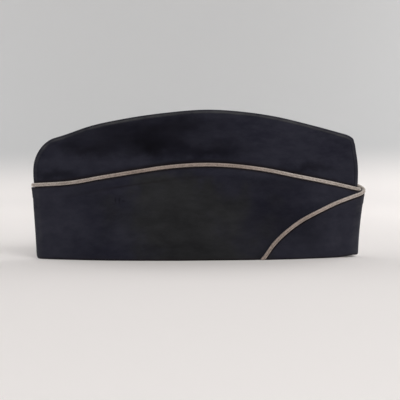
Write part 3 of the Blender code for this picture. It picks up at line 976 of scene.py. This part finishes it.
# Noise: how many features go in a metre, how much finer they get, and how rough they are.
CLOUDS, MOTTLE, HAIRS = (34, 3, 0.55), (150, 6, 0.7), (900, 2, 0.8)
WANDER, DRIFT, CLIMB = (160, 3), (38, 3), (70, 3)
DRAWN_OUT = (0.45, 1.0, 1.0)  # clouds and mottle are longer along the cap
NAVY, NAVY_PALE = (0.0080, 0.0081, 0.0156), (0.0290, 0.0290, 0.0405)
NAVY_DEEP = (0.0014, 0.0012, 0.0030)  # where the nap lies pressed, and in painted shade
FADED, FADED_PALE = (0.0094, 0.0096, 0.0102), (0.0288, 0.0292, 0.0310)
FADED_NEAR, FADED_FAR = 0.020, 0.088  # from the middle, where the blue is gone and whole
FADED_LOW, FADED_HIGH = 0.064, 0.084  # heights between which it comes back
FADED_LEAN, FADED_BOW = 0.35, 0.30  # the area leans back, and is lower away from its middle
FADED_DRIFT, FADED_CLIMB = 0.12, 0.03  # how far its border wanders
PATCH_DRIFT, PATCH_CLIMB = 0.040, 0.020  # and how far a patch does
SIDE_BLEND = 0.002  # width in which one side's patches give way to the other's
# The pale colour of wear, which also paints the highlight on the seam's roll and the two ends.
WEAR_AND_HIGHLIGHT = (0.0600, 0.0600, 0.0620)
DIRT_AND_SHADE_BROWN = (0.0062, 0.0030, 0.0026)  # brownish dark beside the piping and under the fold, dirt and painted shade
print("one metre of serge has", round(1 / TWILL_PITCH), "ribs")

# %% Where the nap lies pressed or rubbed, and where shade and highlight are painted
# Each row is a soft uneven patch in the side view, on the side that sign gives: x and z are its
# middle, length and rise its spread in metres, and shade is how dark it is, or how pale where it
# is below zero. Some rows are the cloth's own pressed nap and a scuff. Others are painted shade,
# such as the dark hollow below the top seam and the dark lines just above the piping, and painted
# highlight, such as the paler ends of the curtain and a bulge low on the crown.
Patch = namedtuple("Patch", "sign x z length rise shade")
CROWN_PATCHES = [
    Patch(-1, -0.038, 0.100, 0.017, 0.010, 0.34),
    Patch(-1, -0.058, 0.108, 0.050, 0.016, 0.62),
    Patch(-1, -0.008, 0.093, 0.034, 0.007, 0.42),
    Patch(-1, 0.024, 0.097, 0.014, 0.009, 0.26),
    Patch(-1, -0.100, 0.094, 0.024, 0.006, 0.42),
    Patch(-1, -0.012, 0.117, 0.026, 0.008, 0.36),
    Patch(-1, -0.126, 0.084, 0.020, 0.012, -0.08),
    Patch(-1, 0.088, 0.0775, 0.024, 0.0040, 0.45),
    Patch(-1, -0.126, 0.0715, 0.016, 0.0036, 0.45),
    Patch(-1, 0.012, 0.0900, 0.016, 0.0036, 0.30),
    Patch(1, 0.045, 0.098, 0.040, 0.013, 0.55),
    Patch(1, -0.060, 0.092, 0.028, 0.009, 0.35),
    Patch(1, -0.010, 0.116, 0.030, 0.006, 0.30),
]
CURTAIN_PATCHES = [
    Patch(-1, 0.060, 0.040, 0.024, 0.024, 0.34),
    Patch(-1, 0.050, 0.066, 0.045, 0.007, 0.22),
    Patch(-1, -0.085, 0.055, 0.022, 0.010, 0.16),
    Patch(-1, -0.130, 0.022, 0.022, 0.034, -0.16),
    Patch(-1, 0.128, 0.014, 0.016, 0.020, -0.20),
    Patch(-1, -0.020, 0.012, 0.060, 0.006, 0.14),
    Patch(-1, -0.102, 0.022, 0.010, 0.003, -0.10),
    Patch(-1, 0.088, 0.026, 0.016, 0.018, 0.22),
    Patch(1, -0.040, 0.050, 0.040, 0.012, 0.30),
    Patch(1, 0.070, 0.022, 0.030, 0.014, 0.25),
]
# Small dark marks of pins.
PIN_MARKS = [
    Patch(-1, -0.0742, 0.0508, 0.0007, 0.0020, 0.5),
    Patch(-1, -0.0708, 0.0506, 0.0007, 0.0022, 0.5),
    Patch(-1, -0.0676, 0.0502, 0.0016, 0.0010, 0.4),
]
print(len(CROWN_PATCHES), "patches on the crown,", len(CURTAIN_PATCHES), "on the curtain")


# %% The serge of the crown and of the curtain
def shade_of(patches, x, z, right):
    """How dark the patches make the cloth at a place, and how pale where it is below zero."""
    sums = {-1: 0.0, 1: 0.0}
    for patch in patches:
        far = ((x - patch.x) / patch.length).squared() + ((z - patch.z) / patch.rise).squared()
        sums[patch.sign] = (-far).exp() * patch.shade + sums[patch.sign]
    return sums[-1] * right + sums[1] * (1 - right)


def serge(name, patches, faded_share):
    """Navy serge. faded_share is how much of its blue the middle of a side has lost."""
    finish = Finish(name, Roughness=0.95, Specular_IOR_Level=0.12, Sheen_Weight=0.12,
                    Sheen_Roughness=0.40, Sheen_Tint=(0.78, 0.80, 0.9, 1.0))
    run, rise, _ = finish.axes(finish.node("ShaderNodeUVMap", {"uv_map": "cloth"}))
    here = finish.place()
    x, y, z = finish.axes(here)
    drift, climb = finish.noise(here, *DRIFT) - 0.5, finish.noise(here, *CLIMB) - 0.5

    # The weave: steep ribs, and the yarns that cross them.
    wander = finish.noise(here, *WANDER) * WANDER_SHARE
    rib = ((run - rise * TWILL_SLOPE) / TWILL_PITCH + wander) * (2 * np.pi)
    yarn = ((run * TWILL_SLOPE + rise) / YARN_PITCH + wander) * (2 * np.pi)
    ribs, yarns = rib.sin() * 0.5 + 0.5, yarn.sin() * 0.5 + 0.5

    # The nap: clouds and mottle that are drawn out along the cap, and single pale hairs.
    squeezed = finish.node("ShaderNodeVectorMath", {"operation": "MULTIPLY"},
                           {0: here, 1: DRAWN_OUT})
    mottle = finish.smooth(finish.noise(squeezed, *MOTTLE), 0.30, 0.72)
    cloud = finish.smooth(finish.noise(squeezed, *CLOUDS), 0.30, 0.70)
    hairs = finish.smooth(finish.noise(here, *HAIRS), 0.66, 0.74) * 0.12
    right = (0.5 - (y - float(MIDDLE[1])) * (1 / SIDE_BLEND)).clamp()
    # The patches: pressed nap, with painted shade and painted highlight.
    nap_and_painted_light = shade_of(patches, x + drift * PATCH_DRIFT, z + climb * PATCH_CLIMB, right)
    marks = shade_of(PIN_MARKS, x, z, right) * faded_share

    # The faded area, wide and low, with an uneven border.
    off_middle = (x + z * FADED_LEAN + drift * FADED_DRIFT).abs()
    level = z + off_middle * FADED_BOW + climb * FADED_CLIMB
    faded = finish.smooth(level, FADED_HIGH, FADED_LOW) * faded_share
    faded = faded * finish.smooth(off_middle, FADED_FAR, FADED_NEAR)

    pale = (mottle * 0.35 + cloud * 0.30 + ribs * 0.13 + yarns * 0.05 - nap_and_painted_light.clamp() * 0.3).clamp()
    colour = finish.mix((pale + hairs + (-nap_and_painted_light).clamp()).clamp(), finish.mix(faded, NAVY, FADED),
                        finish.mix(faded, NAVY_PALE, FADED_PALE))
    colour = finish.mix((nap_and_painted_light * (cloud * 0.5 + 0.8) + marks).clamp(), colour, NAVY_DEEP)
    # Darkening: dirt and painted shade beside the piping, at the step and under the fold.
    colour = finish.mix((finish.attribute("soil") * 0.85).clamp(), colour, DIRT_AND_SHADE_BROWN)
    # Paleness: wear and painted highlight.
    pale_share = (finish.attribute("worn") * (mottle * 0.9 + 0.3)).clamp()
    height = (ribs + yarns * 0.5 + mottle * 0.8) * TWILL_HEIGHT
    finish.feed(Base_Color=finish.mix(pale_share, colour, WEAR_AND_HIGHLIGHT), Normal=finish.bump(height))
    return finish.material


crown_serge = serge("crown_serge", CROWN_PATCHES, 0.0)
curtain_serge = serge("curtain_serge", CURTAIN_PATCHES, 1.0)
for piece in (crown_right, crown_left):
    piece.data.materials.append(crown_serge)
for piece in (curtain_right, curtain_left):
    piece.data.materials.append(curtain_serge)
print("each serge has about", len(crown_serge.node_tree.nodes), "nodes")

# %% Piping cloth and thread
BRAID_PALE, BRAID_DARK = (0.375, 0.300, 0.258), (0.125, 0.096, 0.080)
BRAID_PALEST = (0.530, 0.468, 0.420)  # away from the middle and up from the floor
DARKEST_X = -0.018  # x of the place where the braid is darkest
PALER_AWAY = (0.035, 0.115)  # distances from it over which the braid gets paler
PALER_ABOVE = (0.035, 0.060)  # and heights, as it is darker near the floor
FLECKS, BRAID_SOIL, FIBRES = (700, 3, 0.7), (28, 4, 0.6), (2600, 2, 0.7)  # noise, as on the serge
FIBRE_HEIGHT = 0.00006
THREAD_DARK, THREAD_PALE = (0.006, 0.006, 0.010), (0.020, 0.020, 0.028)


def piping_cloth():
    finish = Finish("piping_twill", Roughness=0.8, Specular_IOR_Level=0.3, Sheen_Weight=0.15,
                    Sheen_Roughness=0.5)
    here = finish.place()
    x, _, z = finish.axes(here)
    fleck = finish.smooth(finish.noise(here, *FLECKS), 0.38, 0.62)
    soil = finish.smooth(finish.noise(here, *BRAID_SOIL), 0.35, 0.70)
    crest, groove = finish.attribute("crest"), finish.attribute("groove")
    # crest paints a highlight on the ribs' tops, and groove paints shade into the groove between
    # the two halves.
    pale = (crest * 0.40 + fleck * 0.40 - soil * 0.25 - groove * 0.45 + 0.40).clamp()
    paler = finish.smooth((x - DARKEST_X).abs(), *PALER_AWAY) * finish.smooth(z, *PALER_ABOVE)
    colour = finish.mix(pale, BRAID_DARK, finish.mix(paler, BRAID_PALE, BRAID_PALEST))
    fibre = finish.noise(here, *FIBRES)
    finish.feed(Base_Color=colour, Normal=finish.bump(fibre * FIBRE_HEIGHT))
    return finish.material


def thread_finish():
    finish = Finish("navy_thread", Roughness=0.8, Specular_IOR_Level=0.15)
    fleck = finish.noise(finish.place(), 1500, 2)
    finish.feed(Base_Color=finish.mix(fleck, THREAD_DARK, THREAD_PALE))
    return finish.material


braid, thread = piping_cloth(), thread_finish()
print(braid.name, "has", len(braid.node_tree.nodes), "nodes")

# %% The piping, swept and ribbed by Geometry Nodes
CORD_SIDES = 72
FLOOR_GAP = 0.0002  # the cord is cut off flat just above the floor

cord = Recipe("ribbed_piping", {
    "Radius": PIPING_RADIUS,
    "Ribs": 10.0,  # round the cord, half of them on each side of its groove
    "Rib pitch": 0.0017,  # from rib to rib, along the cord
    "Rib height": 0.00012,
    "Groove": 0.00042,  # its depth
    "Groove width": 0.11,  # as a share of half a turn
    "Step": 0.0009,  # from section to section
    "Material": braid,
})
given = cord.given
line = cord.node("GeometryNodeResampleCurve", {"mode": "LENGTH"},
                 {"Curve": given, "Length": given.other("Step")})
line = cord.node("GeometryNodeSetCurveNormal", {"mode": "Z_UP"}, {"Curve": line})
line = cord.store(line, "run", cord.node("GeometryNodeSplineParameter", output="Length"))
ring = cord.node("GeometryNodeCurvePrimitiveCircle", {"mode": "RADIUS"},
                 {"Resolution": CORD_SIDES, "Radius": given.other("Radius")})
ring = cord.store(ring, "round", cord.node("GeometryNodeSplineParameter", output="Factor"))
tube = cord.node("GeometryNodeCurveToMesh",
                 inputs={"Curve": line, "Profile Curve": ring, "Fill Caps": True})
from_outside = (cord.named("round") - 0.5).abs() * 2
ribs_passed = cord.named("run") / given.other("Rib pitch")
phase = from_outside * (given.other("Ribs") * 0.5) + ribs_passed
tube = cord.store(tube, "crest", (phase * np.pi).sin().abs())
off_groove = from_outside / given.other("Groove width")
tube = cord.store(tube, "groove", (-off_groove.squared()).exp())
relief = (cord.named("crest") - 1) * given.other("Rib height")
relief = relief - cord.named("groove") * given.other("Groove")
lift = cord.node("ShaderNodeVectorMath", {"operation": "SCALE"},
                 {"Vector": cord.node("GeometryNodeInputNormal"), "Scale": relief})
tube = cord.node("GeometryNodeSetPosition", inputs={"Geometry": tube, "Offset": lift})
cord.end(cord.node("GeometryNodeSetShadeSmooth", inputs={"Geometry": tube}))
piping = cord.run(guide_curve("piping_line", route), "piping_cord")

# The sweep runs on below the rim, so it is cut off flat there, and the cut is closed.
with reworking(piping.data) as work:
    everything = work.verts[:] + work.edges[:] + work.faces[:]
    cut = bmesh.ops.bisect_plane(work, geom=everything, plane_co=(0, 0, FLOOR_GAP),
                                 plane_no=(0, 0, 1), clear_inner=True)["geom_cut"]
    bmesh.ops.holes_fill(work, edges=[part for part in cut if isinstance(part, bmesh.types.BMEdge)])

# %% [markdown]
# ## Stitches beside the crown's seam
#
# A machine lays stitches of one length along a line, so they are the clearest case for Geometry
# Nodes: one short thread is placed again and again along a curve, turned to follow it. Each
# thread sinks in at both ends, as it does where the needle went through. The line keeps a fixed
# distance from the crown's edge and lies on the outside of the cloth, waves and all.

# %% The stitch lines
STITCH_START = 0.002  # the lowest stitch is this far above the curtain's edge
SMALLEST, LARGEST = 0.9, 1.08  # the stitches' sizes, as shares of the stated one


def stitch_line(sign):
    columns = side_columns()
    outline = outline_of(form_point(sign, columns[:, None], crown_rows(columns)))[::2]
    runs = np.gradient(outline, axis=0)
    inwards = unit(np.stack([runs[:, 2], 0 * runs[:, 1], -runs[:, 0]], axis=-1))
    line = outline + STITCH_LINE * inwards - MIDDLE
    along = np.clip(along_at(line[:, 0], line[:, 2]), -1, 1)
    keep = line[:, 2] > CURTAIN_TOP * right_curtain(along) + STITCH_START
    along, z = along[keep], line[keep, 2]
    skin = form_point(sign, along, z)
    reach = CROWN_CLOTH + edge_thickness(STITCH_LINE) + pucker(skin[:, :1], STITCH_LINE)
    return skin + reach * cloth_normal(sign, along, z)


sew = Recipe("stitch_row", {
    "Pitch": 0.0026, "Length": 0.0021, "Thread": 0.00042, "Seed": 3, "Material": thread,
})
given = sew.given
line = sew.node("GeometryNodeResampleCurve", {"mode": "LENGTH"},
                {"Curve": given, "Length": given.other("Pitch")})
half_thread = given.other("Thread") * 0.5
size = sew.node("ShaderNodeCombineXYZ",
                inputs={"X": given.other("Length") * 0.5, "Y": half_thread, "Z": half_thread})
ball = sew.node("GeometryNodeMeshUVSphere", inputs={"Segments": 8, "Rings": 6, "Radius": 1.0})
one = sew.node("GeometryNodeTransform", inputs={"Geometry": ball, "Scale": size})
turn = sew.node("FunctionNodeAlignRotationToVector", {"axis": "X"},
                {"Vector": sew.node("GeometryNodeInputTangent")})
uneven = sew.node("FunctionNodeRandomValue", {"data_type": "FLOAT"},
                  {"Min_001": SMALLEST, "Max_001": LARGEST, "Seed": given.other("Seed")},
                  "Value_001")
sew.end(sew.node("GeometryNodeInstanceOnPoints",
                 inputs={"Points": line, "Instance": one, "Rotation": turn, "Scale": uneven}))
stitches = {}
for sign, side in ((-1, "right"), (1, "left")):
    guide = guide_curve("stitch_guide", stitch_line(sign))
    stitches[side] = sew.run(guide, "crown_stitches_" + side)

# %% [markdown]
# ## Attach the pieces
#
# Each piece rides on the root body, and the plain solid that it stands for is hidden. The stitches
# ride on the root body as well.

for piece, node, kind in (
    (crown_right, "crown_right", "crown_cloth"),
    (crown_left, "crown_left", "crown_cloth"),
    (curtain_right, "curtain_right", "curtain_cloth"),
    (curtain_left, "curtain_left", "curtain_cloth"),
    (piping, "piping", "piping_braid"),
):
    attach(piece, "root")
    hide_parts(node)
for piece in stitches.values():
    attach(piece, "root")

# %% Keep the two boxes and finish
boxes = {"cad": [list(corner) for corner in cad_box],
         "visual": [list(corner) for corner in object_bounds()]}
for name, (low, high) in boxes.items():
    print(name, "box", [mm(end - start) for start, end in zip(low, high)], "mm")
